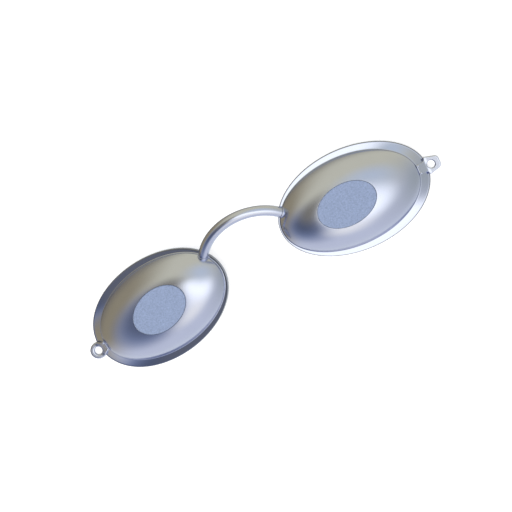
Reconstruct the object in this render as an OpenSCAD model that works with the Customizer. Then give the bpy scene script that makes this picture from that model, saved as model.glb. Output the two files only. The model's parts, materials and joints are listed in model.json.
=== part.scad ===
// Eye guard for laser work: two polished metal cups on a bendable bridge bar.
// It lies face down on the two outer ends of its flanges, domes up.
// X runs across the face, Y towards the brows and Z out of the face.
// The origin is on the resting surface, under the middle of the outline.
// A cup's own frame has its origin in the middle of the dome's edge,
// x towards the temple, y towards the brow and z out of the dome.

/* [Cups] */
// Distance between the middles of the two cups
cup_spacing = 63; // [58:0.5:70]
// Length of the dome at its edge
dome_len = 42.3; // [38:0.1:46]
// Width of the dome at its edge
dome_wid = 25.8; // [23:0.1:29]
// Height of the flat crown above the dome's edge
dome_high = 6.5; // [5.5:0.1:8]
// Thickness of the dome's wall at its edge
dome_wall = 0.7; // [0.5:0.05:0.9]
// Slope of the dome beside its crown, in degrees
dome_slope_top = 15; // [8:1:22]
// Slope of the dome at its edge, in degrees
dome_slope_edge = 65; // [58:1:74]
// How far each cup faces outwards, in degrees
wrap = 9.7; // [5:0.1:12]
// How far the outer end of each cup hangs below its inner end, in degrees
droop = 6; // [2:0.5:8]

/* [Face flange] */
// How far the flange reaches past the dome's ends, halfway between nose and temple
flange_past_end = 1.9; // [1.5:0.05:3]
// How far the flange reaches past the dome's sides
flange_past_side = 2; // [1.4:0.05:3]
// How far the flange sits towards the temple
flange_shift = 1.25; // [0.6:0.05:1.4]
// Radius of the cove between the dome's edge and the flange
cove = 0.25; // [0.15:0.05:0.3]
// Drop from the dome's edge through the cove to the level flange
cove_deep = 0.5; // [0.3:0.05:0.6]
// How much further the whole flange drops at the temple end, beside the eye's corner
temple_slump = 1.9; // [1:0.1:2.4]
// Depth of the whole flange below the dome's edge
flange_deep = 2.2; // [2.2:0.05:3]
// Thickness of the flange
flange_wall = 0.6; // [0.45:0.05:0.7]
// Radius of the flange's outer shoulder, seen from the end
edge_round = 0.4; // [0.3:0.05:0.5]
// Radius of the flange's hem, which bears on the face
hem_round = 0.35; // [0.2:0.05:0.4]

/* [Centre plate] */
// Length of the oval plate
plate_len = 18.2; // [16:0.1:19]
// Width of the oval plate
plate_wid = 12.2; // [10:0.1:13]
// How far the plate sits towards the nose
plate_shift = 1.35; // [0:0.05:1.8]
// Turn of the plate's long axis on the cup, in degrees
plate_turn = 5; // [0:0.5:12]
// How far the plate stands out of the crown
plate_proud = 0.35; // [0.1:0.05:0.6]
// Radius of the plate's upper edge
plate_round = 0.3; // [0.1:0.05:0.35]
// Width of the plate's hidden lip
plate_lip = 0.6; // [0.4:0.05:0.8]
// Thickness of the plate's hidden lip
plate_lip_thick = 0.5; // [0.4:0.05:0.8]
// Thickness of the crown's inner seat, where the lip bears
crown_seat = 1.1; // [1:0.05:1.4]
// Width of the retaining ring's outer wall
ring_wall = 0.6; // [0.45:0.05:0.8]
// Thickness of the retaining ring under the lip
ring_floor = 0.6; // [0.4:0.05:0.8]
// Gap around the plate in the crown and in the ring
plate_gap = 0.05; // [0.03:0.01:0.08]

/* [Bridge] */
// Diameter of the bridge bar
bar_d = 3.1; // [2.6:0.1:3.2]
// Angle that each half of the bend turns through, in degrees
bar_turn = 51.8; // [48:0.2:56]
// Length of each straight end, from the bend to the cup's wall
bar_straight = 1.2; // [1:0.1:3]
// Lean of the bend out of the face, in degrees
bar_lean = 36; // [30:1:45]

/* [Swivels] */
// Diameter of the journal that turns in the bush
journal_d = 2.2; // [1.8:0.1:2.4]
// Running gap around the journal
journal_gap = 0.05; // [0.02:0.01:0.08]
// Outer diameter of the bush
bush_d = 3.3; // [3.3:0.1:3.8]
// Length of the bush
bush_len = 1.7; // [1.5:0.1:2.2]
// End play of the bush between the shoulder and the clip
end_play = 0.05; // [0.03:0.01:0.1]
// Diameter of the clip on the journal's end
clip_d = 3; // [2.8:0.1:3.2]
// Thickness of the clip
clip_thick = 0.5; // [0.4:0.1:0.7]

/* [Strap lugs] */
// Diameter of the left lug's round head
eyelet_d = 4.9; // [4.4:0.1:5.6]
// Width of the right lug's head at its root
tab_root = 5.2; // [4.8:0.1:5.6]
// Width of the right lug's head at its tip
tab_end = 4; // [3.6:0.1:4.6]
// How far the right lug's head reaches before the hole's middle
tab_back = 1.4; // [1.3:0.1:1.8]
// How far the right lug's head reaches past the hole's middle
tab_reach = 2.7; // [2.3:0.1:3]
// Corner radius of the right lug's tip
tab_corner = 1.3; // [1:0.1:1.6]
// Width of the lug's neck on the flange
lug_neck = 3; // [2.4:0.1:3.6]
// Thickness of the lug
lug_thick = 0.9; // [0.7:0.05:1.1]
// Diameter of the strap hole
lug_hole = 2.2; // [1.8:0.1:2.6]
// How far the left strap hole's middle stands past the flange's edge
reach_left = 0.5; // [0.3:0.05:1]
// How far the right strap hole's middle stands past the flange's edge
reach_right = 1; // [0.8:0.05:1.4]
// Depth of the lug's seat in the flange
lug_seat = 0.15; // [0.1:0.05:0.25]

/* [Hidden] */
// How far the whole guard tips forward as it lies on its flange ends
rest_tip = -2.2;
// Steps around an oval, along a dome's outer and inner curve, and along and around the bar
steps_round = 60;
steps_outer = 12;
steps_inner = 7;
steps_bend = 36;
steps_bar = 28;
// The axis of the bar's end meets the dome this far around and above its edge
mouth_angle = 156.6;
mouth_rise = 0.1;
// How far the bush's outer face stands out of the wall that it is set in
bush_proud = 0.2;
// Free length behind the clip, inside the cup
clip_room = 0.2;
// How sharply the flange's slump is kept to the temple end
slump_power = 4;
// Share of the flange's width that its slope takes, up to the shoulder
shoulder_at = 0.85;
// Break of the flange's inner corners
inner_break = 0.15;
// How far past the flange's edge a lug bends level
lug_bend = 0.2;
// Corner radius of the right lug's root, and how far the flange's notch stands clear of the strap hole
root_corner = 0.4;
notch_clear = 0.5;
// Radius of the two weld beads on a lug's root, how far they stand off the dome and how deep they sink
bead_r = 0.4;
bead_back = 0.5;
bead_sink = 0.15;
// How far each cutting body runs past what it cuts
over = 1;

dome_a = dome_len / 2;
dome_b = dome_wid / 2;
flange_a = dome_a + flange_past_end;
flange_b = dome_b + flange_past_side;
plate_a = plate_len / 2;
plate_b = plate_wid / 2;
ring_reach = plate_lip + plate_gap + ring_wall;
seat_z = dome_high - crown_seat;
ring_z = seat_z - plate_lip_thick - ring_floor;
flange_end = flange_shift + flange_a;
temple_drop = cove_deep + temple_slump;
shoulder_x = dome_a + cove + shoulder_at * (flange_end - dome_a - cove);
bend_x = flange_end + lug_bend;
lug_fall = temple_slump / (shoulder_x - dome_a);

// Rows of the turn from a cup's frame to the guard's: the y row and the z row
level_y = [sin(droop) * -1, cos(droop), 0];
level_z = [-sin(wrap) * cos(droop), -sin(wrap) * sin(droop), cos(wrap)];
row_y = cos(rest_tip) * level_y - sin(rest_tip) * level_z;
row_z = sin(rest_tip) * level_y + cos(rest_tip) * level_z;
// The lowest point of the flange's hem, and the middle of the outline from brow to cheek
lowest = min([for (p = rim_ring(hem_round, 0)) row_z * p]);
middle = row_y[0] * flange_shift - row_y[2] * (cove_deep + flange_deep) / 2;

// A point of an oval with half axes a and b
function oval(a, b, t) = [a * cos(t), b * sin(t)];

// A point of the plate's outline, grown by g: its long axis is turned and it lies towards the nose
function plate_at(g, turn, t) =
    let (p = oval(plate_a + g, plate_b + g, t - turn))
    [p[0] * cos(turn) - p[1] * sin(turn) - plate_shift, p[0] * sin(turn) + p[1] * cos(turn)];

function mix(p, q, f) = p + (q - p) * f;
function lift(p, z) = [p[0], p[1], z];

// The dome's curve is an arc from one slope to the other: how far out and how high it is at share u
function arc_angle(u) = dome_slope_top + (dome_slope_edge - dome_slope_top) * u;
function arc_out(u) =
    (sin(arc_angle(u)) - sin(dome_slope_top)) / (sin(dome_slope_edge) - sin(dome_slope_top));
function arc_up(u) =
    (cos(arc_angle(u)) - cos(dome_slope_edge)) / (cos(dome_slope_top) - cos(dome_slope_edge));

// A ring of points at every step around, from a function of the step's angle
function turns() = [for (i = [0 : steps_round - 1]) i * 360 / steps_round];
function plate_ring(g, z, turn) = [for (t = turns()) lift(plate_at(g, turn, t), z)];
function dome_ring(u, turn) = [for (t = turns())
    lift(mix(plate_at(0, turn, t), oval(dome_a, dome_b, t), arc_out(u)), dome_high * arc_up(u))];
function inner_ring(u, turn) = [for (t = turns())
    lift(mix(plate_at(ring_reach + plate_gap, turn, t), oval(dome_a - dome_wall, dome_b - dome_wall, t),
        arc_out(u)), seat_z * arc_up(u))];
function edge_ring(g, z) = [for (t = turns()) lift(oval(dome_a - g, dome_b - g, t), z)];
function rim_at(g, t) = oval(flange_a - g, flange_b - g, t) + [flange_shift, 0];
function slump(t) = temple_slump * pow(max(cos(t), 0), slump_power);
function rim_ring(g, up) = [for (t = turns()) lift(rim_at(g, t), up - flange_deep - slump(t))];
function shoulder_drop(t) = cove_deep + slump(t);
function slope_ring(f) = [for (t = turns())
    lift(mix(oval(dome_a + cove, dome_b + cove, t), rim_at(0, t), shoulder_at * f),
        -cove_deep - slump(t) * f)];
function shoulder_ring(a) = [for (t = turns())
    lift(mix(oval(dome_a + cove, dome_b + cove, t), rim_at(0, t), mix(shoulder_at, 1, sin(a))),
        -shoulder_drop(t) - edge_round * (1 - cos(a)))];
function under_ring(g) = [for (t = turns()) lift(rim_at(g, t), -shoulder_drop(t) - flange_wall)];

// A closed skin over a list of rings: each ring is joined to the next, and the last to the first
module band(rings) {
    n = len(rings[0]);
    m = len(rings);
    points = [for (r = rings) for (p = r) p];
    faces = [for (j = [0 : m - 1]) for (i = [0 : n - 1])
        let (a = j * n + i, b = j * n + (i + 1) % n, next = ((j + 1) % m) * n)
        each [[a, b, next + (i + 1) % n], [a, next + (i + 1) % n, next + i]]];
    polyhedron(points, faces, convexity = 6);
}

// A closed skin over a list of rings, lowest first, with a flat lid on the first and the last
module stack(rings) {
    n = len(rings[0]);
    m = len(rings);
    points = [for (r = rings) for (p = r) p];
    walls = [for (j = [0 : m - 2]) for (i = [0 : n - 1])
        let (a = j * n + i, b = j * n + (i + 1) % n, c = (j + 1) * n + (i + 1) % n, d = (j + 1) * n + i)
        each [[a, c, b], [a, d, c]]];
    first = [for (i = [1 : n - 2]) [0, i, i + 1]];
    last = [for (i = [1 : n - 2]) (m - 1) * n * [1, 1, 1] + [0, i + 1, i]];
    polyhedron(points, concat(walls, first, last), convexity = 6);
}

// Puts its children into the guard's frame, as it lies on a table
module lying() {
    translate([0, -middle, -lowest]) rotate([rest_tip, 0, 0]) children();
}

// Puts its children from a cup's own frame into place: side is 1 on the right and -1 on the left
module on_cup(side) {
    lying() mirror([side < 0 ? 1 : 0, 0, 0]) translate([cup_spacing / 2, 0, 0])
        rotate([0, wrap, 0]) rotate([0, 0, -droop]) children();
}

// The mouth of the right cup in the level frame, where the axis of the bar's end leaves the dome's edge
mouth_cup = lift(oval(dome_a, dome_b, mouth_angle), mouth_rise);
mouth_turned = [mouth_cup[0] * cos(droop) + mouth_cup[1] * sin(droop),
    mouth_cup[1] * cos(droop) - mouth_cup[0] * sin(droop), mouth_cup[2]];
mouth = [cup_spacing / 2 + mouth_turned[0] * cos(wrap) + mouth_turned[2] * sin(wrap), mouth_turned[1],
    mouth_turned[2] * cos(wrap) - mouth_turned[0] * sin(wrap)];
// The bend's radius spans what the straight ends leave between the two mouths
bar_bend = (mouth[0] - bar_straight * cos(bar_turn)) / sin(bar_turn);
end_fall = bar_bend * (1 - cos(bar_turn)) + bar_straight * sin(bar_turn);
bar_top = [0, mouth[1] + end_fall * cos(bar_lean), mouth[2] + end_fall * sin(bar_lean)];

// Puts its children into the bar's plane: x across, y towards the top of the bend, which is the origin
module in_bar_plane() {
    lying() translate(bar_top) rotate([bar_lean, 0, 0]) children();
}

// Puts its children on a bar's end: z runs along the axis into the cup, from the wall's outer face
module at_mouth(side) {
    in_bar_plane() mirror([side < 0 ? 1 : 0, 0, 0])
        translate([mouth[0], -end_fall, 0]) rotate([0, 0, -bar_turn]) rotate([0, 90, 0]) children();
}

// A ring of the bar's skin, where its bend has turned through a and the straight end has run on by extra
function bar_ring(a, extra) = [for (i = [0 : steps_bar - 1])
    let (phi = i * 360 / steps_bar, reach = bar_bend + bar_d / 2 * cos(phi))
    [reach * sin(a) + sign(a) * extra * cos(a), reach * cos(a) - bar_bend - extra * abs(sin(a)),
        bar_d / 2 * sin(phi)]];

module bridge_bar() {
    shoulder = bush_proud + end_play;
    end = bar_straight - shoulder;
    bend = [for (i = [0 : steps_bend]) bar_ring(bar_turn * (2 * i / steps_bend - 1), 0)];
    color("lightsteelblue") {
        in_bar_plane() stack(concat([bar_ring(-bar_turn, end)], bend, [bar_ring(bar_turn, end)]));
        for (side = [-1, 1]) at_mouth(side) translate([0, 0, -shoulder - over])
            cylinder(d = journal_d, h = over + bush_len + 2 * end_play + clip_thick, $fn = 64);
    }
}

module bar_clip(side) {
    color("slategray") at_mouth(side) translate([0, 0, bush_len - bush_proud + end_play])
        difference() {
            cylinder(d = clip_d, h = clip_thick, $fn = 64);
            translate([0, 0, -over]) cylinder(d = journal_d, h = clip_thick + 2 * over, $fn = 64);
        }
}

module bush(side) {
    color("silver") at_mouth(side) translate([0, 0, -bush_proud])
        difference() {
            cylinder(d = bush_d, h = bush_len, $fn = 64);
            translate([0, 0, -over])
                cylinder(d = journal_d + 2 * journal_gap, h = bush_len + 2 * over, $fn = 64);
        }
}

// The round hole that the bush fills, through the corner of dome and flange, with room for the clip
module bush_hole(side) {
    inside = bush_len - bush_proud + end_play + clip_thick + clip_room;
    at_mouth(side) translate([0, 0, -over]) cylinder(d = bush_d, h = over + inside, $fn = 64);
}

module dome(side) {
    turn = side * plate_turn;
    outer = [for (i = [0 : steps_outer]) dome_ring(i / steps_outer, turn)];
    inner = [for (i = [0 : steps_inner]) inner_ring(1 - i / steps_inner, turn)];
    color("lightsteelblue") difference() {
        on_cup(side) band(concat(outer, inner, [plate_ring(0, seat_z, turn)]));
        bush_hole(side);
    }
}

// The flange leaves the dome in a cove, runs out level, rounds over its shoulder and ends in a round hem
module flange(side) {
    coved = [for (a = [30, 60]) edge_ring(-cove * (1 - cos(a)), -cove_deep * sin(a))];
    slope = [for (f = [0, 0.5, 1]) slope_ring(f)];
    shoulder = [for (a = [45, 90]) shoulder_ring(a)];
    hem = [for (a = [0, 45, 90]) rim_ring(hem_round * (1 - cos(a)), hem_round * (1 - sin(a)))];
    color("lightslategray") difference() {
        on_cup(side) band(concat(
            [edge_ring(dome_wall, 0), edge_ring(0, 0)], coved, slope, shoulder, hem,
            [rim_ring(flange_wall, inner_break), under_ring(flange_wall + inner_break),
                edge_ring(dome_wall, -flange_wall)]));
        bush_hole(side);
        on_cup(side) {
            lug_body(side, over);
            strap_notch(side);
        }
    }
}

module plate(side) {
    turn = side * plate_turn;
    top = dome_high + plate_proud;
    edge = [for (a = [0, 45, 90])
        plate_ring(-plate_gap - plate_round * (1 - cos(a)), top - plate_round * (1 - sin(a)), turn)];
    color("cornflowerblue") on_cup(side) stack(concat(
        [plate_ring(plate_lip, seat_z - plate_lip_thick, turn), plate_ring(plate_lip, seat_z, turn),
            plate_ring(-plate_gap, seat_z, turn)], edge));
}

module plate_retainer(side) {
    turn = side * plate_turn;
    lip_z = seat_z - plate_lip_thick;
    color("slategray") on_cup(side) band([
        plate_ring(plate_lip + plate_gap, seat_z, turn), plate_ring(ring_reach, seat_z, turn),
        plate_ring(ring_reach, ring_z, turn), plate_ring(-plate_lip, ring_z, turn),
        plate_ring(-plate_lip, lip_z, turn), plate_ring(plate_lip + plate_gap, lip_z, turn)]);
}

function hole_x(side) = flange_end + (side < 0 ? reach_left : reach_right);

// The lug's side view, as a strip of thickness h above its underside: down the flange, then level
function lug_side(h) =
    let (root = -cove_deep - lug_seat, flat = -temple_drop - lug_seat, tip = flange_end + 2 * eyelet_d,
        rise = (tip - bend_x) * tan(wrap))
    [[dome_a, root], [shoulder_x, flat], [bend_x, flat], [tip, flat + rise],
        [tip, flat + rise + h], [bend_x, flat + h], [shoulder_x, flat + h], [dome_a, root + h]];

// The lug's head from above, about its hole: a round eyelet on the left and a tapered tab on the right
module lug_head(side) {
    if (side < 0) circle(d = eyelet_d, $fn = 96);
    else hull() for (y = [-1, 1]) {
        translate([root_corner - tab_back, y * (tab_root / 2 - root_corner)])
            circle(r = root_corner, $fn = 24);
        translate([tab_reach - tab_corner, y * (tab_end / 2 - tab_corner)])
            circle(r = tab_corner, $fn = 48);
    }
}

// The lug's outline from above: its neck on the flange and its head
module lug_plan(side) {
    translate([dome_a, -lug_neck / 2]) square([hole_x(side) - dome_a, lug_neck]);
    translate([hole_x(side), 0]) lug_head(side);
}

// The space of a lug that is h thick above its underside
module lug_body(side, h) {
    intersection() {
        translate([0, eyelet_d, 0]) rotate([90, 0, 0]) linear_extrude(2 * eyelet_d) polygon(lug_side(h));
        translate([0, 0, -over - flange_deep - temple_slump])
            linear_extrude(over + 2 * flange_deep + temple_slump) lug_plan(side);
    }
}

// The notch that the flange leaves under the strap hole
module strap_notch(side) {
    half = lug_hole / 2 + notch_clear;
    translate([hole_x(side) - half, -half, -temple_drop - flange_deep - over])
        cube([2 * half, 2 * half, 2 * (flange_deep + over)]);
}

module strap_lug(side) {
    bead_z = lug_thick - lug_seat - cove_deep - lug_fall * bead_back - bead_sink;
    color("silver") on_cup(side) {
        difference() {
            lug_body(side, lug_thick);
            translate([hole_x(side), 0, -temple_drop]) rotate([0, -wrap, 0])
                cylinder(d = lug_hole, h = 2 * (lug_thick + over), center = true, $fn = 64);
        }
        for (y = [-1, 1])
            translate([dome_a + bead_back, y * (lug_neck / 2 - bead_r), bead_z])
                sphere(r = bead_r, $fn = 24);
    }
}

bridge_bar();
bar_clip(-1);  // left_bar_clip
bar_clip(1);  // right_bar_clip
dome(-1);  // left_dome
dome(1);  // right_dome
flange(-1);  // left_flange
flange(1);  // right_flange
plate(-1);  // left_plate
plate(1);  // right_plate
plate_retainer(-1);  // left_plate_ring
plate_retainer(1);  // right_plate_ring
bush(-1);  // left_bush
bush(1);  // right_bush
strap_lug(-1);  // left_strap_lug
strap_lug(1);  // right_strap_lug
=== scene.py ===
# %% [markdown]
# # A metal eye guard for laser work
#
# The real object is two polished metal cups on an arched bar. Each cup is a domed shell with a
# frosted oval plate in its crown, a sheet flange around its edge and a small lug for a head strap.
# This lesson builds every visible piece as a surface worked out with numpy, in metres, in the frame
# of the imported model, so that each piece lies exactly where its solid lies.

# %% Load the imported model
import bpy
import json
import math
import numpy as np
from mathutils import Matrix, Vector


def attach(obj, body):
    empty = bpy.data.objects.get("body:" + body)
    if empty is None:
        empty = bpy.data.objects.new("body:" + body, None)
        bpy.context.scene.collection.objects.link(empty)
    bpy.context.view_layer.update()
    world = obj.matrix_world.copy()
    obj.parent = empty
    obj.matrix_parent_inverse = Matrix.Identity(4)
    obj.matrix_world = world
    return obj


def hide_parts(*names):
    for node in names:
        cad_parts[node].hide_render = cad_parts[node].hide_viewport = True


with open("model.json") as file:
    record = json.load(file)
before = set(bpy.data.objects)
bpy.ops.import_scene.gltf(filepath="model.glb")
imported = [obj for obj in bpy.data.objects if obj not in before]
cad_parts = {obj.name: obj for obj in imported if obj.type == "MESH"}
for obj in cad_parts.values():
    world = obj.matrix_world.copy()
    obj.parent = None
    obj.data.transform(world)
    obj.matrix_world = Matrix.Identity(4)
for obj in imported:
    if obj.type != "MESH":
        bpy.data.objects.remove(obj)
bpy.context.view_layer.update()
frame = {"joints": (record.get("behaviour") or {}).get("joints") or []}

# %% [markdown]
# ## Sizes
#
# Lengths are in millimetres and angles in degrees, as a maker would write them. A cup has its own
# frame: its origin is in the middle of the dome's edge, x runs towards the temple, y towards the
# brow and z out of the dome. Everything on a cup is built round the dome, so its sizes come first.
# The other sizes stand where their piece is made.

# %% The dome's sizes
MM = 0.001
SIDES = {"left": -1, "right": 1}
dome_len, dome_wid, dome_high, dome_wall = 42.3, 25.8, 6.5, 0.7
dome_a, dome_b = dome_len / 2, dome_wid / 2
print("a dome is", dome_len, "x", dome_wid, "mm and", dome_high, "mm high")

# %% [markdown]
# ## From a cup's frame to the guard's frame
#
# A cup is drooped, wrapped and tipped by three plain turns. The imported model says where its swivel
# is. That is the point where the bar's axis leaves the dome's edge, so it fixes the cup's origin.
# The left cup is the mirror image of the right one.

# %% Turns and places
wrap, droop, rest_tip = 9.7, 6.0, -2.2
mouth_angle, mouth_rise = 156.6, 0.1


def turn(axis, degrees):
    """A turn about x, y or z as a 3 x 3 matrix."""
    return np.array(Matrix.Rotation(math.radians(degrees), 3, axis))


joint = {j["name"]: j for j in frame["joints"]}
mouth = np.array(joint["right_swivel"]["pos_m"]) / MM
cup_turn = turn("X", rest_tip) @ turn("Y", wrap) @ turn("Z", -droop)
mouth_in_cup = np.array([dome_a * math.cos(math.radians(mouth_angle)),
                         dome_b * math.sin(math.radians(mouth_angle)), mouth_rise])
cup_origin = mouth - cup_turn @ mouth_in_cup
print("right cup's origin in mm", cup_origin.round(3))


def from_cup(points, side):
    """Points of a cup's frame in mm, turned and moved into the guard's frame, in metres."""
    return (points @ cup_turn.T + cup_origin) * [SIDES[side], 1, 1] * MM


# %% [markdown]
# ## Skins over rings
#
# Nearly every piece is a stack of rings: each ring is a closed loop of points, and a skin joins
# each ring to the next. If the last ring joins the first, the skin is a closed tube round a hole,
# like a tyre. Otherwise a point closes each end. The signed volume tells whether the faces look
# outwards.


# %% Skin a stack of rings
def add_object(name, data):
    """An object at the origin that carries the data."""
    obj = bpy.data.objects.new(name, data)
    bpy.context.scene.collection.objects.link(obj)
    return obj


def skin(name, rows, loop=False, smooth=True):
    """An object whose skin joins the rings of an array of shape (rings, points, 3).

    Corner i of ring j and its neighbour i + 1 join the same two corners of ring j + 1. The volume
    is a sixth of the sum, over the triangles, of the first corner dotted with the cross product of
    the other two, and its sign sets the winding.
    """
    m, n = rows.shape[:2]
    points = rows.reshape(-1, 3)
    j, i = np.meshgrid(np.arange(m if loop else m - 1), np.arange(n), indexing="ij")
    here, right, up = j * n, (i + 1) % n, ((j + 1) % m) * n
    quads = np.stack([here + i, here + right, up + right, up + i], -1).reshape(-1, 4)
    lids = np.zeros((0, 3), int)
    if not loop:
        k = np.arange(n)
        ends = np.vstack([rows[0].mean(axis=0), rows[-1].mean(axis=0)])
        first = np.stack([(k + 1) % n, k, np.full(n, m * n)], -1)
        last = np.stack([(m - 1) * n + k, (m - 1) * n + (k + 1) % n, np.full(n, m * n + 1)], -1)
        points, lids = np.vstack([points, ends]), np.vstack([first, last])
    tris = np.vstack([quads[:, [0, 1, 2]], quads[:, [0, 2, 3]], lids])
    a, b, c = points[tris[:, 0]], points[tris[:, 1]], points[tris[:, 2]]
    if np.einsum("ij,ij->i", a, np.cross(b, c)).sum() < 0:
        quads, lids = quads[:, ::-1], lids[:, ::-1]
    corners = np.concatenate([quads.ravel(), lids.ravel()])
    sizes = np.concatenate([np.full(len(quads), 4), np.full(len(lids), 3)])
    mesh = bpy.data.meshes.new(name)
    mesh.vertices.add(len(points))
    mesh.vertices.foreach_set("co", points.astype(np.float32).ravel())
    mesh.loops.add(len(corners))
    mesh.loops.foreach_set("vertex_index", corners.astype(np.int32))
    mesh.polygons.add(len(sizes))
    mesh.polygons.foreach_set("loop_start", (np.cumsum(sizes) - sizes).astype(np.int32))
    mesh.polygons.foreach_set("use_smooth", np.full(len(sizes), smooth))
    mesh.update(calc_edges=True)
    mesh.validate()
    return add_object(name, mesh)


# %% [markdown]
# ## Ovals
#
# The dome's edge, the flange's edge and the frosted plate are pressed or cut as ovals. An ellipse
# matches all three, so every ring of a cup takes the same steps round one, and rings of different
# pieces blend point by point.

# %% Ovals
plate_len, plate_wid, plate_shift, plate_turn = 18.2, 12.2, 1.35, 5.0
steps_round = 288
angles = np.arange(steps_round) * 2 * np.pi / steps_round
print("each ring of a cup has", steps_round, "points")


def ring(x, y, z):
    """Stacks three arrays of coordinates, each one value or one per step, into a ring of points."""
    return np.stack(np.broadcast_arrays(x, y, z), -1).astype(float) * np.ones((steps_round, 1))


def oval(a, b, z, shift=0.0):
    """x is a times the cosine of the angle, plus the shift, and y is b times its sine."""
    return ring(a * np.cos(angles) + shift, b * np.sin(angles), z)


def plate_oval(grow, z, side):
    """The plate's oval, grown by grow on all sides and turned by plate_turn.

    In the picture both plates turn the same way, so in the mirrored frame the sign changes.
    """
    q = math.radians(plate_turn) * SIDES[side]
    x = (plate_len / 2 + grow) * np.cos(angles - q)
    y = (plate_wid / 2 + grow) * np.sin(angles - q)
    return ring(x * math.cos(q) - y * math.sin(q) - plate_shift,
                x * math.sin(q) + y * math.cos(q), z)


# %% [markdown]
# ## Materials
#
# All bare metal here is the same polished, slightly blue steel. What differs is how fine the polish
# is. Pictures wrapped round the pieces could carry that, but noise on Object coordinates needs no
# unwrapping and stays sharp at any distance. Four short helpers keep the node trees readable.


# %% Helpers that build nodes
def feed(tree, socket, value):
    """Gives a socket a plain value, or links it to another socket."""
    if isinstance(value, bpy.types.NodeSocket):
        tree.links.new(value, socket)
    else:
        socket.default_value = value


def add(tree, kind, **settings):
    """A node of a kind. Settings are its properties, or its inputs where the name is a socket's."""
    node = tree.nodes.new(kind)
    for key, value in settings.items():
        if hasattr(node, key):
            setattr(node, key, value)
        else:
            feed(tree, node.inputs[key.replace("_", " ")], value)
    return node


def math_node(tree, operation, *operands):
    """The result of a Math node. Each operand is a number or a socket."""
    node = add(tree, "ShaderNodeMath", operation=operation)
    for socket, value in zip(node.inputs, operands):
        feed(tree, socket, value)
    return node.outputs[0]


def new_group(name, inputs, outputs):
    """A shader node group with named float inputs and outputs."""
    group = bpy.data.node_groups.new(name, "ShaderNodeTree")
    for label, value in inputs.items():
        socket = group.interface.new_socket(label, in_out="INPUT", socket_type="NodeSocketFloat")
        socket.default_value = value
    for label in outputs:
        group.interface.new_socket(label, in_out="OUTPUT", socket_type="NodeSocketFloat")
    return group, group.nodes.new("NodeGroupInput"), group.nodes.new("NodeGroupOutput")


print("helpers:", [helper.__name__ for helper in (feed, add, math_node, new_group)])

# %% [markdown]
# ### Polish and bead blasting
#
# One node group makes the polish: a very fine grain that scatters the reflection a little and a
# broad, faint unevenness left by the buffing wheel. The frosted plates are bead-blasted, which is a
# grain that scatters all light, so they get their own group. The groups give only numbers, and each
# material puts them where they belong.


# %% Build the polish and the blasting
def polish_group():
    """Roughness is the base plus the spread times a broad noise, and height is a fine noise."""
    tint_spread, tint_low = 0.06, 0.97
    group, source, sink = new_group(
        "buffed polish", {"Roughness": 0.2, "Unevenness": 0.04, "Grain Size": 9000.0},
        ["Roughness", "Height", "Tint"])
    where = add(group, "ShaderNodeTexCoord").outputs["Object"]
    broad = add(group, "ShaderNodeTexNoise", Vector=where, Scale=140.0, Detail=2.0, Roughness=0.5)
    fine = add(group, "ShaderNodeTexNoise", Vector=where, Scale=source.outputs["Grain Size"],
               Detail=1.0, Roughness=0.6)
    centred = math_node(group, "SUBTRACT", broad.outputs["Fac"], 0.5)
    spread = math_node(group, "MULTIPLY", centred, source.outputs["Unevenness"])
    feed(group, sink.inputs["Roughness"],
         math_node(group, "ADD", source.outputs["Roughness"], spread))
    feed(group, sink.inputs["Height"], fine.outputs["Fac"])
    feed(group, sink.inputs["Tint"],
         math_node(group, "MULTIPLY_ADD", broad.outputs["Fac"], tint_spread, tint_low))
    return group


def frost_group():
    """Height and shade of a bead-blasted face: overlapping small craters of two sizes."""
    shade_spread, shade_low = 1.0, 0.5
    group, source, sink = new_group("bead blasting", {"Crater Size": 3200.0}, ["Height", "Shade"])
    where = add(group, "ShaderNodeTexCoord").outputs["Object"]
    craters = add(group, "ShaderNodeTexVoronoi", feature="SMOOTH_F1", Vector=where,
                  Scale=source.outputs["Crater Size"])
    cloud = add(group, "ShaderNodeTexNoise", Vector=where, Scale=2300.0, Detail=3.0, Roughness=0.7)
    feed(group, sink.inputs["Height"],
         math_node(group, "ADD", craters.outputs["Distance"], cloud.outputs["Fac"]))
    feed(group, sink.inputs["Shade"],
         math_node(group, "MULTIPLY_ADD", cloud.outputs["Fac"], shade_spread, shade_low))
    return group


polish, frost = polish_group(), frost_group()
print("node groups:", polish.name, "and", frost.name)

# %% [markdown]
# ### Painted shade at the flange's cut edge
#
# The flange's colour is darkened towards its cut edge. This is painted shade: it stands for the dark
# surroundings that the steep edge mirrors, and it draws a thin grey outline round a cup. A second
# material on a strip of faces would end in a hard border, so a group finds the edge by its place and
# fades instead. The flange's outline is an oval, a little larger than the dome's and shifted towards
# the temple.

# %% Build the painted shade at the cut edge
past_end, past_side, flange_shift = 1.9, 2.0, 1.25
flange_a, flange_b = dome_a + past_end, dome_b + past_side


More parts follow.
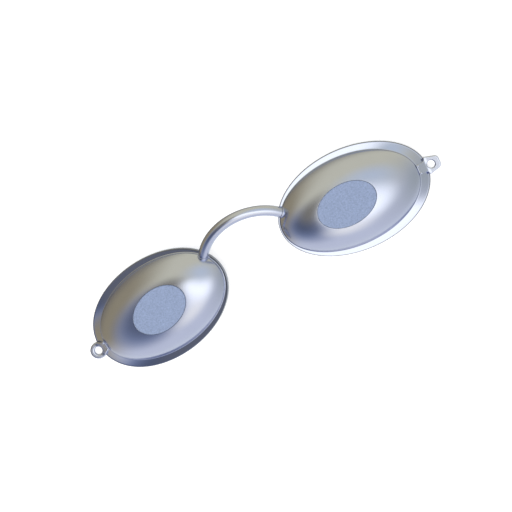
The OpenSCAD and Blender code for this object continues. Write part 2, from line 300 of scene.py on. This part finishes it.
def painted_rim_shade_group():
    """Painted shade, which is 1 inside the flange and falls to Darkest at its edge, from Inner to
    Outer.

    A place is measured along the cup's x and y axes, as shares of the flange's half sizes, and the
    sum of the two squares is 1 on the flange's oval. The distance from the middle plane serves as
    the guard's x, so that the same group does for the left cup, which mirrors the right one.
    """
    group, source, sink = new_group(
        "painted rim shade", {"Inner": 0.955, "Outer": 0.985, "Darkest": 0.42}, ["Shade"])
    where = add(group, "ShaderNodeTexCoord").outputs["Object"]
    parts = add(group, "ShaderNodeSeparateXYZ", Vector=where)
    place = [math_node(group, "ABSOLUTE", parts.outputs["X"]),
             parts.outputs["Y"], parts.outputs["Z"]]
    squares = []
    for axis, half, shift in ((cup_turn[:, 0], flange_a, flange_shift),
                              (cup_turn[:, 1], flange_b, 0.0)):
        along = -float(cup_origin @ axis + shift) / half
        for part, share in zip(place, axis / (half * MM)):
            along = math_node(group, "MULTIPLY_ADD", part, float(share), along)
        squares.append(math_node(group, "MULTIPLY", along, along))
    fall = add(group, "ShaderNodeMapRange", interpolation_type="SMOOTHSTEP",
               Value=math_node(group, "ADD", *squares), From_Min=source.outputs["Inner"],
               From_Max=source.outputs["Outer"], To_Min=1.0, To_Max=source.outputs["Darkest"])
    feed(group, sink.inputs["Shade"], fall.outputs["Result"])
    return group


painted_rim_shade = painted_rim_shade_group()
print("a flange is", round(2 * flange_a, 1), "x", round(2 * flange_b, 1), "mm")

# %% [markdown]
# ### The metals and the frosted face
#
# Every material is one Principled shader. Its colour is what the metal shows where it mirrors plain
# white, and the group's height goes through a Bump node, because the grain is far too fine to be
# modelled. The dome is satin, the flange and the bar are brighter, and the small lugs are tumbled.

# %% Make the metals and the frosted plate
grain_height, crater_height = 2e-7, 1.2e-5


def principled(name):
    """A material with its tree and its Principled shader."""
    material = bpy.data.materials.new(name)
    material.use_nodes = True
    return material, material.node_tree, material.node_tree.nodes["Principled BSDF"]


def cover(tree, shader, colour, shade, height, bump_height):
    """Gives the shader a colour times a shade, and a bump of a height in metres."""
    tint = add(tree, "ShaderNodeMix", data_type="RGBA", blend_type="MULTIPLY",
               Factor=1.0, A=(*colour, 1), B=shade)
    bump = add(tree, "ShaderNodeBump", Strength=1.0, Distance=bump_height, Height=height)
    feed(tree, shader.inputs["Base Color"], tint.outputs["Result"])
    feed(tree, shader.inputs["Normal"], bump.outputs["Normal"])


def polished(name, colour, roughness, unevenness=0.04, edge=None):
    """Bare metal with its own fineness of polish, and painted shade at the edge where a group says
    so.
    """
    material, tree, shader = principled(name)
    surface = add(tree, "ShaderNodeGroup", node_tree=polish,
                  Roughness=roughness, Unevenness=unevenness)
    shade = surface.outputs["Tint"]
    # The edge group darkens the colour with painted shade, multiplied in with the random tint.
    if edge:
        rim_painted_shade = add(tree, "ShaderNodeGroup", node_tree=edge).outputs["Shade"]
        shade = math_node(tree, "MULTIPLY", shade, rim_painted_shade)
    shader.inputs["Metallic"].default_value = 1.0
    feed(tree, shader.inputs["Roughness"], surface.outputs["Roughness"])
    cover(tree, shader, colour, shade, surface.outputs["Height"], grain_height)
    return material


def frosted(name, colour, roughness):
    """A bead-blasted face. It scatters all light, so it is matte, with small craters."""
    material, tree, shader = principled(name)
    surface = add(tree, "ShaderNodeGroup", node_tree=frost)
    shader.inputs["Roughness"].default_value = roughness
    cover(tree, shader, colour, surface.outputs["Shade"], surface.outputs["Height"],
          crater_height)
    return material


STEEL = (0.45, 0.49, 0.65)
metal = {
    "dome": polished("satin polished dome", STEEL, 0.2),
    # The flange's colour is darkened towards its cut edge with painted shade.
    "flange": polished("bright flange", STEEL, 0.14, 0.02, edge=painted_rim_shade),
    "bar": polished("bright bar", STEEL, 0.16, 0.03),
    "lug": polished("tumbled lug", (0.48, 0.52, 0.68), 0.26, 0.08),
    "spring": polished("spring steel", (0.36, 0.37, 0.4), 0.32, 0.1),
    "plate": frosted("frosted plate", (0.297, 0.373, 0.565), 0.85),
}
print("materials:", [material.name for material in metal.values()])

# %% [markdown]
# ## The domes
#
# The dome's section is an arc that starts with a shallow slope beside the plate and ends steeply at
# the edge. A share of 0 is on the plate's outline and a share of 1 is on the dome's edge, so the
# shell blends from one oval to the other. Subdividing a rough cage would also work, but the
# reflections in a polished face show every ripple, so the exact arc is safer.

# %% The dome's arc
slope_top, slope_edge = 15.0, 65.0


def arc_share(u):
    """How far out and how high the dome's arc is at share u of its turn, both from 0 to 1.

    The slope grows evenly with u. On a circle the distance out goes with the slope's sine and the
    height with its cosine.
    """
    s0, s1 = math.radians(slope_top), math.radians(slope_edge)
    s = s0 + (s1 - s0) * u
    out = (math.sin(s) - math.sin(s0)) / (math.sin(s1) - math.sin(s0))
    high = (math.cos(s) - math.cos(s1)) / (math.cos(s0) - math.cos(s1))
    return out, high


def mix(p, q, share):
    """p at share 0, q at share 1 and an even blend between."""
    return p + (q - p) * share


print("halfway, the dome is at", [round(share, 2) for share in arc_share(0.5)],
      "of its reach and height")


def arc_rows(window, edge, height, shares):
    """Rings that run along the dome's arc, from the window's oval to the edge's oval."""
    rows = []
    for u in shares:
        out, high = arc_share(u)
        row = mix(window, edge, out)
        row[:, 2] = height * high
        rows.append(row)
    return rows


# %% [markdown]
# ### The shell
#
# The dome is a thin shell, so its rings run down the outside, round the edge and back up the inside
# to the seat that holds the oval plate. The first two shares lie close together, so that the dome
# has its own slope right beside the plate's window. The seat leaves room for the plate's lip and
# for the ring behind it. A finished piece rides on its body and stands for its solid.

# %% Build the domes
crown_seat, plate_lip, plate_gap, ring_wall = 1.1, 0.6, 0.05, 0.6
seat_z = dome_high - crown_seat
ring_reach = plate_lip + plate_gap + ring_wall
window_break = 0.004
outer_shares = (0.004, *np.linspace(0.02, 1, 70))
inner_shares = np.linspace(1, 0, 24)


def finish_piece(obj, body, node, material):
    """The piece rides on its body, stands for its solid and takes its finish."""
    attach(obj, body)
    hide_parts(node)
    obj.data.materials.append(material)
    print(obj.name, len(obj.data.polygons), "faces")


def dome_rows(side):
    """Rings of the shell: the plate's seat, outside arc, edge and inside arc."""
    rows = [plate_oval(0.0, seat_z, side), plate_oval(0.0, dome_high - 2 * window_break, side),
            plate_oval(window_break / 2, dome_high - window_break / 2, side)]
    rows += arc_rows(plate_oval(0.0, 0.0, side), oval(dome_a, dome_b, 0.0),
                     dome_high, outer_shares)
    rows += arc_rows(plate_oval(ring_reach + plate_gap, 0.0, side),
                     oval(dome_a - dome_wall, dome_b - dome_wall, 0.0), seat_z, inner_shares)
    return np.array(rows)


for side in SIDES:
    dome = skin(f"{side}_polished_dome", from_cup(dome_rows(side), side), loop=True)
    finish_piece(dome, f"{side}_cup", f"{side}_dome", metal["dome"])

# %% [markdown]
# ## The flanges
#
# The flange is pressed sheet. It leaves the dome in a small cove, runs out level, rounds over a
# shoulder and ends in a soft hem that lies on the face. At the temple end the whole flange slumps
# down beside the eye's corner. The cove draws a fine line round the dome, and painted shade at the
# cut edge draws one round the flange. A square notch under the lug keeps the sheet clear of the
# strap hole.

# %% The flange's sizes and its slump
cove, cove_deep = 0.25, 0.5
temple_slump, slump_power, flange_deep, flange_wall = 1.9, 4, 2.2, 0.6
edge_round, hem_round, shoulder_at = 0.4, 0.35, 0.85
flange_inset, hem_step, notch_step = 0.02, 0.15, 0.1
lug_hole, notch_clear = 2.2, 0.5
lug_reach = {"left": 0.5, "right": 1.0}
flange_end = flange_shift + flange_a
hole_x = {side: flange_end + reach for side, reach in lug_reach.items()}
print("the strap holes are at x", [round(x, 2) for x in hole_x.values()], "in their cups")


def quarter(count):
    """Angles from 0 to a quarter turn."""
    return np.linspace(0, np.pi / 2, count)


def slump():
    """How much lower the flange lies at each step: most at the temple end, none past the middle.

    It is the slump times the fourth power of the angle's cosine.
    """
    return temple_slump * np.maximum(np.cos(angles), 0) ** slump_power


# %% Build the flanges
def notched(rows, side, half):
    """Rings with a notch: where y is within half, x stops half short of the strap hole's middle."""
    x, y = rows[..., 0], rows[..., 1]
    rows[..., 0] = np.where(np.abs(y) < half, np.minimum(x, hole_x[side] - half), x)
    return rows


def flange_rows(side):
    """Rings of the sheet: cove, slope, shoulder, hem and the underside.

    The cove, the shoulder and the hem are quarter circles, worked out with sines and cosines.
    """
    a_out, b_out = flange_a - flange_inset, flange_b - flange_inset
    shoulder_drop = cove_deep + slump()
    hem_drop = flange_deep - flange_inset + slump()
    foot = oval(dome_a + cove, dome_b + cove, 0.0)
    rim = oval(a_out, b_out, 0.0, flange_shift)
    top = [oval(dome_a - dome_wall, dome_b - dome_wall, 0.0)]
    for a in quarter(9)[:-1]:
        out = cove * (1 - math.cos(a))
        top.append(oval(dome_a + out, dome_b + out, -cove_deep * math.sin(a)))
    for share in np.linspace(0, 1, 12):
        row = mix(foot, rim, shoulder_at * share)
        row[:, 2] = -mix(cove_deep, shoulder_drop, share)
        top.append(row)
    for a in quarter(9)[1:]:
        row = mix(foot, rim, mix(shoulder_at, 1, math.sin(a)))
        row[:, 2] = -shoulder_drop - edge_round * (1 - math.cos(a))
        top.append(row)
    for a in quarter(9):
        back = hem_round * (1 - math.cos(a))
        top.append(oval(a_out - back, b_out - back,
                        hem_round * (1 - math.sin(a)) - hem_drop, flange_shift))
    inner = flange_wall + hem_step
    below = [oval(a_out - flange_wall, b_out - flange_wall, hem_step - hem_drop, flange_shift),
             oval(a_out - inner, b_out - inner, -shoulder_drop - flange_wall, flange_shift),
             oval(dome_a - dome_wall, dome_b - dome_wall, -flange_wall)]
    half = lug_hole / 2 + notch_clear
    return np.concatenate([notched(np.array(top), side, half),
                           notched(np.array(below), side, half + flange_wall - notch_step)])


for side in SIDES:
    flange = skin(f"{side}_face_flange", from_cup(flange_rows(side), side), loop=True)
    finish_piece(flange, f"{side}_cup", f"{side}_flange", metal["flange"])

# %% [markdown]
# ## The frosted plates and the rings behind them
#
# The plate is a thick oval with a lip below the crown. It stands a little proud, with a rounded
# edge in a narrow joint, and the joint shows as a fine dark line. The joint is a hair wider here
# than in the solids, or the line would be too thin to see. A plain ring behind the crown holds the
# lip.

# %% Build the plates
plate_proud, plate_round, plate_lip_thick, ring_floor = 0.35, 0.3, 0.5, 0.6
joint_width = 0.08
face_insets = (0.8, 1.6, 3.0, 4.5)


def plate_rows(side):
    """Rings of the plate: its lip, its wall, an edge that is a quarter circle and its flat face."""
    rows = [plate_oval(plate_lip, seat_z - plate_lip_thick, side),
            plate_oval(plate_lip, seat_z, side), plate_oval(-joint_width, seat_z, side)]
    top = dome_high + plate_proud
    for a in quarter(10):
        rows.append(plate_oval(-joint_width - plate_round * (1 - math.cos(a)),
                               top - plate_round * (1 - math.sin(a)), side))
    rows += [plate_oval(-inset, top, side) for inset in face_insets]
    return np.array(rows)


def plate_ring_rows(side):
    """Rings of the retaining ring: the corners of its square section, joined in a loop."""
    lip_z = seat_z - plate_lip_thick
    low = lip_z - ring_floor
    outline = [(plate_lip + plate_gap, seat_z), (ring_reach, seat_z), (ring_reach, low),
               (-plate_lip, low), (-plate_lip, lip_z), (plate_lip + plate_gap, lip_z)]
    return np.array([plate_oval(grow, z, side) for grow, z in outline])


for side in SIDES:
    plate = skin(f"{side}_frosted_plate", from_cup(plate_rows(side), side))
    finish_piece(plate, f"{side}_cup", f"{side}_plate", metal["plate"])
    retainer = skin(f"{side}_retaining_ring", from_cup(plate_ring_rows(side), side),
                    loop=True, smooth=False)
    finish_piece(retainer, f"{side}_cup", f"{side}_plate_ring", metal["spring"])

# %% [markdown]
# ## The bridge bar
#
# The bar is one round rod, bent over the nose on a flat arc, with a straight stretch at each end. A
# curve with a bevel could make it, but its ends are turned down to journals, so rings along the
# path are simpler: each has its own radius.

# %% The bar's middle line
bar_turn, bar_straight, bar_lean = 51.8, 1.2, 36.0
lean = turn("X", rest_tip + bar_lean)
half_turn = math.radians(bar_turn)
bar_bend = (mouth[0] - bar_straight * math.cos(half_turn)) / math.sin(half_turn)
bar_fall = bar_bend * (1 - math.cos(half_turn)) + bar_straight * math.sin(half_turn)
bar_top = mouth - lean @ np.array([mouth[0], -bar_fall, 0])
half_path = bar_bend * half_turn + bar_straight
print("bar: bend radius", round(bar_bend, 2), "mm, length between cups",
      round(2 * half_path, 1), "mm")


def bar_ring(distance, radius, steps=96):
    """A ring of the bar: distance is measured along its middle line from the top of the bend.

    On the bend, x is the bend's radius times the sine of the turn so far, and y is that radius
    times the cosine, less the radius. Past the bend the line runs on straight. The ring's points
    lie on a circle across the line.
    """
    a = np.clip(distance / bar_bend, -half_turn, half_turn)
    extra = distance - a * bar_bend
    phi = np.arange(steps) * 2 * np.pi / steps
    reach = bar_bend + radius * np.cos(phi)
    flat = np.stack([reach * np.sin(a) + extra * np.cos(a),
                     reach * np.cos(a) - bar_bend - extra * np.sin(a), radius * np.sin(phi)], -1)
    return (flat @ lean.T + bar_top) * MM


# %% [markdown]
# ### The bar's profile
#
# The radius is a simple profile along the path: full size to a rounded shoulder, then the journal
# that turns in the cup's bush, long enough for the clip behind it.

# %% Build the bar
bar_d, journal_d, bush_len, bush_proud, end_play, clip_thick = 3.1, 2.2, 1.7, 0.2, 0.05, 0.5
shoulder = half_path - bush_proud - end_play
shoulder_round, bar_r, middle_rings = 0.08, bar_d / 2, 140
end_profile = [(shoulder - shoulder_round * (1 - math.sin(a)),
                bar_r - shoulder_round * (1 - math.cos(a))) for a in quarter(6)]
end_profile += [(shoulder, journal_d / 2),
                (shoulder + bush_len + 2 * end_play + clip_thick, journal_d / 2)]
straight_to = shoulder - shoulder_round
middle = [(d, bar_r) for d in np.linspace(-straight_to, straight_to, middle_rings)]
profile = [(-d, r) for d, r in end_profile[::-1]] + middle[1:-1] + end_profile
bar = skin("arched_bar", np.array([bar_ring(d, r) for d, r in profile]))
finish_piece(bar, "bridge", "bridge_bar", metal["bar"])

# %% [markdown]
# ## Bushes and clips
#
# Both are small turned rings about the bar's end: the bush is pressed into the cup's wall and the
# clip snaps onto the journal behind it. A turned ring is a section spun round an axis, so one
# function makes both from a list of points, each a distance along the axis and a radius.


# %% Build the bushes and clips
def turned(section, side):
    """Rings about the bar's end: distance runs into the cup from the wall's outer face."""
    return np.array([bar_ring(half_path + d, r) for d, r in section]) * [SIDES[side], 1, 1]


bush_d, journal_gap, clip_d = 3.3, 0.05, 3.0
bush_out, bush_in = bush_d / 2, journal_d / 2 + journal_gap
bush_round = 0.05
bush_end = bush_len - bush_proud
bush_section = [(-bush_proud, bush_in), (-bush_proud, bush_out - bush_round)]
bush_section += [(-bush_proud + bush_round * (1 - math.cos(a)),
                  bush_out - bush_round * (1 - math.sin(a))) for a in quarter(6)]
bush_section += [(bush_end, bush_out), (bush_end, bush_in)]
clip_at = bush_end + end_play
clip_section = [(clip_at, journal_d / 2), (clip_at, clip_d / 2),
                (clip_at + clip_thick, clip_d / 2), (clip_at + clip_thick, journal_d / 2)]
for side in SIDES:
    bush = skin(f"{side}_turned_bush", turned(bush_section, side), loop=True)
    finish_piece(bush, f"{side}_cup", f"{side}_bush", metal["bar"])
    clip = skin(f"{side}_snap_clip", turned(clip_section, side), loop=True, smooth=False)
    finish_piece(clip, "bridge", f"{side}_bar_clip", metal["spring"])

# %% [markdown]
# ## The strap lugs
#
# A lug is a small pressed tab with a hole for the strap. The left one ends in a round eyelet and
# the right one in a tapered tab. A Boolean could cut the hole, but it leaves rough corners. Seen
# from above a tab is star-shaped about its hole, so its outline is one distance for each angle.

# %% Outlines of the two lugs
eyelet_d, tab_root, tab_end, tab_back, tab_reach = 4.9, 5.2, 4.0, 1.4, 2.7
tab_corner, root_corner, lug_neck = 1.3, 0.4, 3.0
hull_steps, least_facing, neck_blend, no_zero = 720, 0.05, 5, 1e-6


def hull_reach(discs):
    """Distance from the hole's middle to the hull of discs (x, y, radius), at each angle.

    In a direction the hull reaches as far as the furthest disc: its middle's distance that way plus
    its radius. A ray leaves the hull at the least of these reaches, each divided by the cosine of
    the angle between its direction and the ray.
    """
    phi = np.arange(hull_steps) * 2 * np.pi / hull_steps
    x, y, r = np.array(discs).T
    support = (np.outer(np.cos(phi), x) + np.outer(np.sin(phi), y) + r).max(axis=1)
    facing = np.cos(phi[None, :] - angles[:, None])
    reach = np.where(facing > least_facing, support / np.maximum(facing, least_facing), np.inf)
    return reach.min(axis=1)


def lug_outline(side):
    """The head's or the neck's reach at each angle, whichever is larger, with a soft corner.

    The neck is a strip to the dome. The soft maximum is the fifth root of the sum of fifth powers.
    """
    c, s = np.abs(np.cos(angles)), np.abs(np.sin(angles))
    neck = np.minimum((hole_x[side] - dome_a) / np.maximum(c, no_zero),
                      lug_neck / 2 / np.maximum(s, no_zero))
    neck = neck * (np.cos(angles) < 0)
    return (hull_reach(heads[side]) ** neck_blend + neck ** neck_blend) ** (1 / neck_blend)


root_y, end_y = tab_root / 2 - root_corner, tab_end / 2 - tab_corner
heads = {"left": [(0, 0, eyelet_d / 2)],
         "right": [(root_corner - tab_back, y, root_corner) for y in (-root_y, root_y)]
         + [(tab_reach - tab_corner, y, tab_corner) for y in (-end_y, end_y)]}
for side in SIDES:
    reach = round(float(lug_outline(side)[0]), 2)
    print(side, "lug reaches", reach, "mm past its hole's middle")

# %% [markdown]
# ### The bent tab
#
# A ring at a share lies between the hole's circle and the outline, and the rings run once round the
# tab's section. Then the flat tab is bent: it follows the flange's slope, turns level and points
# out past the edge.

# %% The tab's section
lug_thick, lug_seat, lug_bend = 0.9, 0.15, 0.2
temple_drop = cove_deep + temple_slump
bend_soft, bend_steps = 0.2, 7
lug_round = {"left": 0.44, "right": 0.3}
hole_sharper = 0.04


def lug_underside(x):
    """Height of the lug's underside at x: down the flange's slope, level, then up by the wrap.

    The bends are soft, because each height is a mean over a short stretch of the bent line.
    """
    fall_to = dome_a + cove + shoulder_at * (flange_end - dome_a - cove)
    bend = flange_end + lug_bend
    tip = flange_end + 2 * eyelet_d
    level = -temple_drop - lug_seat
    knots_x = [dome_a, fall_to, bend, tip]
    knots_z = [-cove_deep - lug_seat, level, level,
               level + (tip - bend) * math.tan(math.radians(wrap))]
    offsets = np.linspace(-bend_soft, bend_soft, bend_steps)
    return np.mean([np.interp(x + d, knots_x, knots_z) for d in offsets], axis=0)


def lug_rows(side):
    """Rings of the tab's section: up the hole's wall, over the top, round the edge and back below.

    All four edges are rounded with quarter circles.
    """
    outline, middle_x, hole = lug_outline(side), hole_x[side], lug_hole / 2
    soft = lug_round[side]
    soft_hole = soft - hole_sharper
    rows = []

    def put(radius, z):
        x, y = radius * np.cos(angles), radius * np.sin(angles)
        rows.append(ring(middle_x + x, y, lug_underside(middle_x + x) + z))

    for a in quarter(5):
        put(hole + soft_hole * (1 - math.sin(a)), soft_hole * (1 - math.cos(a)))
    for a in quarter(5):
        put(hole + soft_hole * (1 - math.cos(a)), lug_thick - soft_hole * (1 - math.sin(a)))
    across = np.linspace(0.1, 0.9, 9)
    for share in across:
        put(mix(hole + soft_hole, outline - soft, share), lug_thick)
    for a in quarter(6):
        put(outline - soft + soft * math.sin(a), lug_thick - soft * (1 - math.cos(a)))
    for a in quarter(6):
        put(outline - soft + soft * math.cos(a), soft * (1 - math.sin(a)))
    for share in across[::-1]:
        put(mix(hole + soft_hole, outline - soft, share), 0.0)
    return np.array(rows)


print("a tab has", len(lug_rows("left")), "rings")

# %% [markdown]
# ### Weld beads
#
# Two small weld beads hold the tab's root on the flange. A bead is a drop of metal that sank in as
# it froze, so a sphere that is half sunk does for it.

# %% Build the lugs
bead_r, bead_back, bead_sink = 0.4, 0.5, 0.15


def bead_rows(y):
    """Rings of a small sphere, at angles from one pole to the other.

    A ring's radius is the sine of its angle from the pole and its height is the cosine.
    """
    pole_gap, bead_rings, bead_step = 0.1, 16, 6
    down = np.linspace(pole_gap, np.pi - pole_gap, bead_rings)[:, None]
    fall = (temple_drop - cove_deep) / (shoulder_at * (flange_end - dome_a - cove) + cove)
    z = lug_thick - lug_seat - cove_deep - fall * bead_back - bead_sink
    t = angles[::bead_step]
    ball = np.stack([np.sin(down) * np.cos(t), np.sin(down) * np.sin(t),
                     np.cos(down) + 0 * t], -1)
    return bead_r * ball + [dome_a + bead_back, y * (lug_neck / 2 - bead_r), z]


for side in SIDES:
    lug = skin(f"{side}_strap_tab", from_cup(lug_rows(side), side), loop=True)
    finish_piece(lug, f"{side}_cup", f"{side}_strap_lug", metal["lug"])
    for y, name in ((-1, "lower"), (1, "upper")):
        bead = skin(f"{side}_{name}_weld_bead", from_cup(bead_rows(y), side))
        finish_piece(bead, f"{side}_cup", f"{side}_strap_lug", metal["lug"])

# %% [markdown]
# ## Camera
#
# The camera looks down on the guard from the photograph's side, with a long lens. Its axes are
# three plain turns of the guard before it is tipped to lie down, found by matching the outlines of
# both cups.

# %% Place the camera
view_roll, view_yaw, view_pitch = 30.405, -6.773, 9.74
pixels_per_mm, camera_mm = 3.49, 1667.0
picture_px, sensor_mm = 512, 36.0
origin_px = (255.951, 253.823)
untip = turn("X", rest_tip).T
look = (turn("X", view_pitch) @ turn("Y", view_yaw) @ turn("Z", view_roll)) @ untip
right_way, up_way, back_way = look
level_origin = cup_origin - turn("X", rest_tip) @ np.array([cup_origin[0], 0, 0])
level_origin[0] = 0.0
shift_right = (picture_px / 2 - origin_px[0]) / pixels_per_mm
shift_up = (origin_px[1] - picture_px / 2) / pixels_per_mm
spot = level_origin + back_way * camera_mm + right_way * shift_right + up_way * shift_up
camera = add_object("camera", bpy.data.cameras.new("camera"))
camera.data.sensor_width = sensor_mm
camera.data.lens = sensor_mm * pixels_per_mm * camera_mm / picture_px
camera.data.clip_end = 20.0
facing = Matrix(look.T.tolist()).to_quaternion()
camera.matrix_world = Matrix.LocRotScale(Vector(spot * MM), facing, None)
bpy.context.scene.camera = camera
print("camera at", np.round(spot, 1), "mm, lens", round(camera.data.lens), "mm")

# %% [markdown]
# ## The studio
#
# Polished metal shows its surroundings, so the studio is half of its look. A product photographer
# stands a shiny piece in a white tent with coloured sheets hung inside it. Here the tent is one
# large sphere that only reflections see. Real sheets of mesh would have hard borders, so a node
# group says how much of a soft round sheet lies in a direction.


# %% Directions and soft sheets
def studio_way(tilt, around):
    """A direction tilt degrees away from the camera.

    In the picture it points towards the angle around, with 0 to the right and 90 up. It is the sine
    of the tilt times that direction across, plus the cosine times the way back to the camera.
    """
    t, b = math.radians(tilt), math.radians(around)
    across = math.cos(b) * right_way + math.sin(b) * up_way
    return math.sin(t) * across + math.cos(t) * back_way


def sheet_group():
    """Share is 1 within the angle Full of the sheet's middle and 0 beyond the angle Fade.

    The angle is the arc cosine of the direction dotted with the middle's direction.
    """
    group, source, sink = new_group("soft sheet", {"Full": 0.5, "Fade": 1.0}, ["Share"])
    group.interface.new_socket("Middle", in_out="INPUT", socket_type="NodeSocketVector")
    where = add(group, "ShaderNodeTexCoord").outputs["Object"]
    way = add(group, "ShaderNodeVectorMath", operation="NORMALIZE")
    dot = add(group, "ShaderNodeVectorMath", operation="DOT_PRODUCT")
    feed(group, way.inputs[0], where)
    feed(group, dot.inputs[0], way.outputs["Vector"])
    feed(group, dot.inputs[1], source.outputs["Middle"])
    edge = add(group, "ShaderNodeMapRange", interpolation_type="SMOOTHSTEP",
               Value=math_node(group, "ARCCOSINE", dot.outputs["Value"]),
               From_Min=source.outputs["Full"], From_Max=source.outputs["Fade"],
               To_Min=1.0, To_Max=0.0)
    feed(group, sink.inputs["Share"], edge.outputs["Result"])
    return group


soft_sheet = sheet_group()
print("node group:", soft_sheet.name)

# %% [markdown]
# ### The sheets
#
# The dark sheets give the domes their brown and navy sides, and the bright ones the pale patches
# towards the lower right. A sheet is its middle's tilt and around, its full and fade angles in
# degrees, and its colour.

# %% List the sheets
sheets = {
    "warm": (74, 103, 47, 105, (1.02, 0.94, 0.63)),
    "brown": (108, 179, 26, 70, (0.52, 0.43, 0.25)),
    "umber": (154, 125, 12, 66, (0.22, 0.20, 0.17)),
    "slate": (59, 229, 12, 57, (0.31, 0.36, 0.48)),
    "navy": (50, 219, 6, 38, (0.15, 0.175, 0.235)),
    "dark edge": (32, 190, 2, 35, (0.34, 0.30, 0.21)),
    "bright box": (27, 322, 8, 42, (2.15, 2.10, 1.86)),
    "top box": (8, 272, 2, 26, (2.20, 2.14, 1.84)),
    "side sheet": (88, 8, 0, 72, (0.64, 0.66, 0.58)),
    "back sheet": (159, 345, 20, 67, (1.10, 1.13, 1.07)),
    "low box": (52, 288, 0, 32, (1.60, 1.50, 1.25)),
    "upper sheet": (30, 60, 2, 42, (0.90, 0.96, 0.93)),
}
print("sheets:", ", ".join(sheets))

# %% [markdown]
# ### The tent
#
# The sheets are laid over the tent's white one after the other, each mixed in by its share.


# %% Build the tent
def tent_material(layers):
    """White, with soft sheets laid over it in order."""
    material = bpy.data.materials.new("tent")
    material.use_nodes = True
    tree = material.node_tree
    tree.nodes.clear()
    colour = add(tree, "ShaderNodeRGB").outputs[0]
    colour.default_value = (1, 1, 1, 1)
    for tilt, around, full, fade, hue in layers:
        patch = add(tree, "ShaderNodeGroup", node_tree=soft_sheet, Full=math.radians(full),
                    Fade=math.radians(fade), Middle=studio_way(tilt, around))
        over = add(tree, "ShaderNodeMix", data_type="RGBA",
                   Factor=patch.outputs["Share"], A=colour, B=(*hue, 1))
        colour = over.outputs["Result"]
    glow = add(tree, "ShaderNodeEmission", Strength=1.0, Color=colour)
    add(tree, "ShaderNodeOutputMaterial", Surface=glow.outputs[0])
    return material


tent_radius, tent_rings, tent_steps = 2.0, 32, 64
around, down = np.meshgrid(np.arange(tent_steps) * 2 * np.pi / tent_steps,
                           (np.arange(tent_rings) + 0.5) * np.pi / tent_rings)
globe = np.stack([np.sin(down) * np.cos(around), np.sin(down) * np.sin(around), np.cos(down)], -1)
tent = skin("tent", tent_radius * globe)
tent.data.materials.append(tent_material(sheets.values()))
tent.visible_camera = tent.visible_diffuse = False
tent.visible_transmission = tent.visible_shadow = False
print("a tent of", tent_radius, "m with", len(sheets), "sheets")

# %% [markdown]
# ## Floor and lamp
#
# The guard lies on a plain sheet of white paper in even white light, and the paper glows a little,
# so that it comes out as white as in a product photograph. The light that falls on surfaces is half
# as strong as the white that the camera sees. One broad lamp near the camera adds to it for the
# frosted plates, and leaves the polished metal alone, because reflections don't see it.


# %% Floor, world and lamp
def background_light(tree):
    """1 for camera, mirror and transmission rays, and 0 for light that falls on a surface."""
    path = add(tree, "ShaderNodeLightPath")
    seen = math_node(tree, "MAXIMUM", path.outputs["Is Camera Ray"],
                     path.outputs["Is Glossy Ray"])
    return math_node(tree, "MAXIMUM", seen, path.outputs["Is Transmission Ray"])


soft_light, paper_white, paper_glow = 0.5, 0.86, 0.6
world = bpy.data.worlds.new("white studio")
world.use_nodes = True
bpy.context.scene.world = world
tree = world.node_tree
sky = tree.nodes["Background"]
sky.inputs["Color"].default_value = (1, 1, 1, 1)
feed(tree, sky.inputs["Strength"],
     math_node(tree, "MULTIPLY_ADD", background_light(tree), 1 - soft_light, soft_light))

floor_half = 3.0
mesh = bpy.data.meshes.new("floor")
mesh.from_pydata([(x * floor_half, y * floor_half, 0)
                  for x, y in ((-1, -1), (1, -1), (1, 1), (-1, 1))], [], [(0, 1, 2, 3)])
floor = add_object("floor", mesh)
floor.visible_glossy = False
paper, tree, shader = principled("white paper")
shader.inputs["Base Color"].default_value = (paper_white, paper_white, paper_white, 1)
shader.inputs["Roughness"].default_value = 1.0
shader.inputs["Specular IOR Level"].default_value = 0.0
shader.inputs["Emission Color"].default_value = (1, 1, 1, 1)
feed(tree, shader.inputs["Emission Strength"],
     math_node(tree, "MULTIPLY", background_light(tree), paper_glow))
mesh.materials.append(paper)

lamp_size, lamp_watts, lamp_away = 0.5, 4.0, 0.9
lamp_data = bpy.data.lights.new("broad lamp", "AREA")
lamp_data.shape, lamp_data.size, lamp_data.energy = "DISK", lamp_size, lamp_watts
lamp = add_object("broad lamp", lamp_data)
lamp_way = Vector(studio_way(14, 232))
lamp.matrix_world = Matrix.LocRotScale(lamp_way * lamp_away, lamp_way.to_track_quat("Z", "Y"), None)
lamp.visible_glossy = lamp.visible_camera = False
bpy.context.scene.view_settings.view_transform = "Standard"
print("floor", 2 * floor_half, "m wide, lamp of", lamp_watts, "W", lamp_away, "m away")
